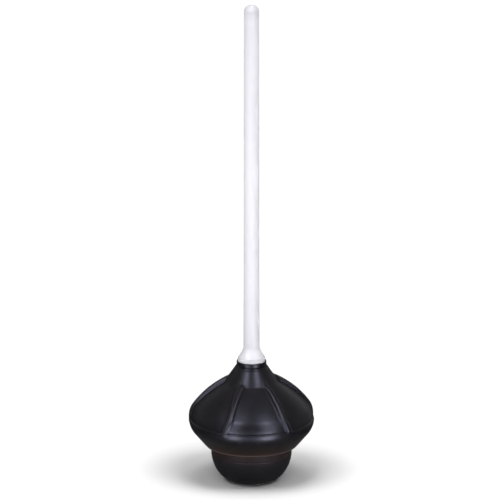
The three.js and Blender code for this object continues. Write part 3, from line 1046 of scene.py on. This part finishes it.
# The camera, in degrees and metres, and the width of the view where the plunger stands.
CAMERA_AZIMUTH = -6.0
CAMERA_ELEVATION = 16.0
CAMERA_DISTANCE = 10.0
VIEW_WIDTH = 0.630
VIEW_CENTRE_Z = 0.3016
VIEW_CENTRE_LEFT = 0.0019
SENSOR_WIDTH = 36


def floor_material():
    """A white floor that takes the shadow near the plunger and runs into the white backdrop further out."""
    material, tree, shader = principled("white_floor", (0.92, 0.92, 0.92), 0.9)
    tone = ramp(tree, noise(tree, 3, detail=2), (0.3, (0.91, 0.91, 0.91)), (0.7, (0.93, 0.93, 0.93)))
    tree.links.new(tone, shader.inputs["Base Color"])
    place = tree.nodes.new("ShaderNodeTexCoord")
    length = tree.nodes.new("ShaderNodeVectorMath")
    length.operation = "DISTANCE"
    length.inputs[1].default_value = SHADOW_CENTRE
    tree.links.new(place.outputs["Object"], length.inputs[0])
    far = ranged(tree, length.outputs["Value"], *SHADOW_FADE, 0, 1)
    surface = shader_mix(tree, far, shader.outputs["BSDF"], emission(tree, BACKDROP_STRENGTH))
    tree.links.new(surface, tree.nodes["Material Output"].inputs["Surface"])
    return material


def painted_shade_material():
    """A dim, even glow, which paints the floor's shade in reflections."""
    material = bpy.data.materials.new("painted_shade_card")
    material.use_nodes = True
    tree = material.node_tree
    tree.links.new(emission(tree, CARD_STRENGTH), tree.nodes["Material Output"].inputs["Surface"])
    return material


def flat_sheet(name, corners, material):
    """One face of the studio, from its corners in metres."""
    mesh = bpy.data.meshes.new(name)
    mesh.from_pydata(corners, [], [tuple(range(len(corners)))])
    mesh.materials.append(material)
    return linked_object(name, mesh)


def floor():
    """The floor, which reflections don't show."""
    side = FLOOR_HALF_SIDE
    corners = [(-side, -side, 0), (side, -side, 0), (side, side, 0), (-side, side, 0)]
    obj = flat_sheet("studio_floor", corners, floor_material())
    obj.visible_glossy = False


def painted_shade_card():
    """Painted shade: a dim glow in place of the shaded floor round the bulb, as the bulb mirrors it. Only
    reflections see it.
    """
    turned = [2 * math.pi * i / CARD_CORNERS for i in range(CARD_CORNERS)]
    corners = [(CARD_RADIUS * math.cos(a), CARD_RADIUS * math.sin(a), CARD_HEIGHT) for a in turned]
    obj = flat_sheet("painted_shade_card", corners, painted_shade_material())
    obj.visible_camera = False
    obj.visible_diffuse = False
    obj.visible_shadow = False


def direction(azimuth, elevation):
    """A unit vector from an azimuth, from -Y towards +X, and an elevation, in degrees."""
    a, e = math.radians(azimuth), math.radians(elevation)
    return np.array([math.sin(a) * math.cos(e), -math.cos(a) * math.cos(e), math.sin(e)])


def aim(obj, position, target):
    """Puts an object in its place, facing a target."""
    obj.location = Vector(position)
    obj.rotation_mode = "QUATERNION"
    obj.rotation_quaternion = (Vector(target) - Vector(position)).to_track_quat("-Z", "Y")


def soft_light(name, azimuth, elevation, distance, side, power, target_z=0.12, spread=180):
    """A square light of some watts that faces a point on the axis. Reflections don't show it."""
    target = (0, 0, target_z)
    light = bpy.data.lights.new(name, "AREA")
    light.shape = "SQUARE"
    light.size = side
    light.energy = power
    light.spread = math.radians(spread)
    obj = linked_object(name, light)
    aim(obj, np.array(target) + direction(azimuth, elevation) * distance, target)
    obj.visible_camera = False
    obj.visible_glossy = False


def reflected_room(tree):
    """What the rubber and the plastic mirror: a dim room with softboxes."""
    across, along, up = coordinates(tree, "Generated")
    azimuth = math_node(tree, "DEGREES", math_node(tree, "ARCTAN2", across, product(tree, along, -1)))
    elevation = math_node(tree, "DEGREES", math_node(tree, "ARCSINE", up))
    strength = ranged(tree, elevation, *ROOM_ELEVATIONS, *ROOM_STRENGTHS)
    for left, right, bottom, top, power in SOFTBOXES:
        inside = between(tree, azimuth, left, right, SOFTBOX_SIDE_EDGE)
        tall = between(tree, elevation, bottom, top, SOFTBOX_END_EDGE)
        strength = math_node(tree, "ADD", strength, product(tree, product(tree, inside, tall), power))
    node = tree.nodes.new("ShaderNodeBackground")
    ahead = between(tree, azimuth, *BLUISH_AZIMUTHS, BLUISH_EDGE)
    tree.links.new(mixed(tree, ahead, ROOM_NEUTRAL, ROOM_BLUISH), node.inputs["Color"])
    tree.links.new(strength, node.inputs["Strength"])
    return node.outputs["Background"]


def studio_world():
    """White to the camera, the painted room in reflections, and a soft fill on matt surfaces."""
    world = bpy.data.worlds.new("studio")
    world.use_nodes = True
    world.cycles.sampling_method = "NONE"
    tree = world.node_tree
    tree.nodes.clear()
    out = tree.nodes.new("ShaderNodeOutputWorld")
    path = tree.nodes.new("ShaderNodeLightPath")
    fill = background(tree, FILL_STRENGTH)
    backdrop = background(tree, BACKDROP_STRENGTH)
    room = shader_mix(tree, path.outputs["Is Glossy Ray"], fill, reflected_room(tree))
    seen = shader_mix(tree, path.outputs["Is Camera Ray"], room, backdrop)
    tree.links.new(seen, out.inputs["Surface"])
    bpy.context.scene.world = world


def camera():
    """A long lens that looks a little down at the plunger from the front."""
    data = bpy.data.cameras.new("camera")
    data.sensor_width = SENSOR_WIDTH
    data.lens = SENSOR_WIDTH * CAMERA_DISTANCE / VIEW_WIDTH
    data.clip_end = 200
    obj = linked_object("camera", data)
    turn = math.radians(CAMERA_AZIMUTH)
    right = np.array([math.cos(turn), math.sin(turn), 0])
    target = np.array([0, 0, VIEW_CENTRE_Z]) - right * VIEW_CENTRE_LEFT
    aim(obj, target + direction(CAMERA_AZIMUTH, CAMERA_ELEVATION) * CAMERA_DISTANCE, target)
    bpy.context.scene.camera = obj


floor()
painted_shade_card()
soft_light("softbox_left", azimuth=-66, elevation=54, distance=1.6, side=0.75, power=10.5)
soft_light("softbox_right", azimuth=54, elevation=55, distance=1.6, side=0.75, power=10.5)
soft_light(
    "handle_light", azimuth=-8, elevation=4, distance=2.2, side=0.5, power=0.46, target_z=0.34, spread=20
)
soft_light("overhead", azimuth=0, elevation=88, distance=2.2, side=1.0, power=15)
studio_world()
camera()
bpy.context.scene.view_settings.view_transform = "Standard"
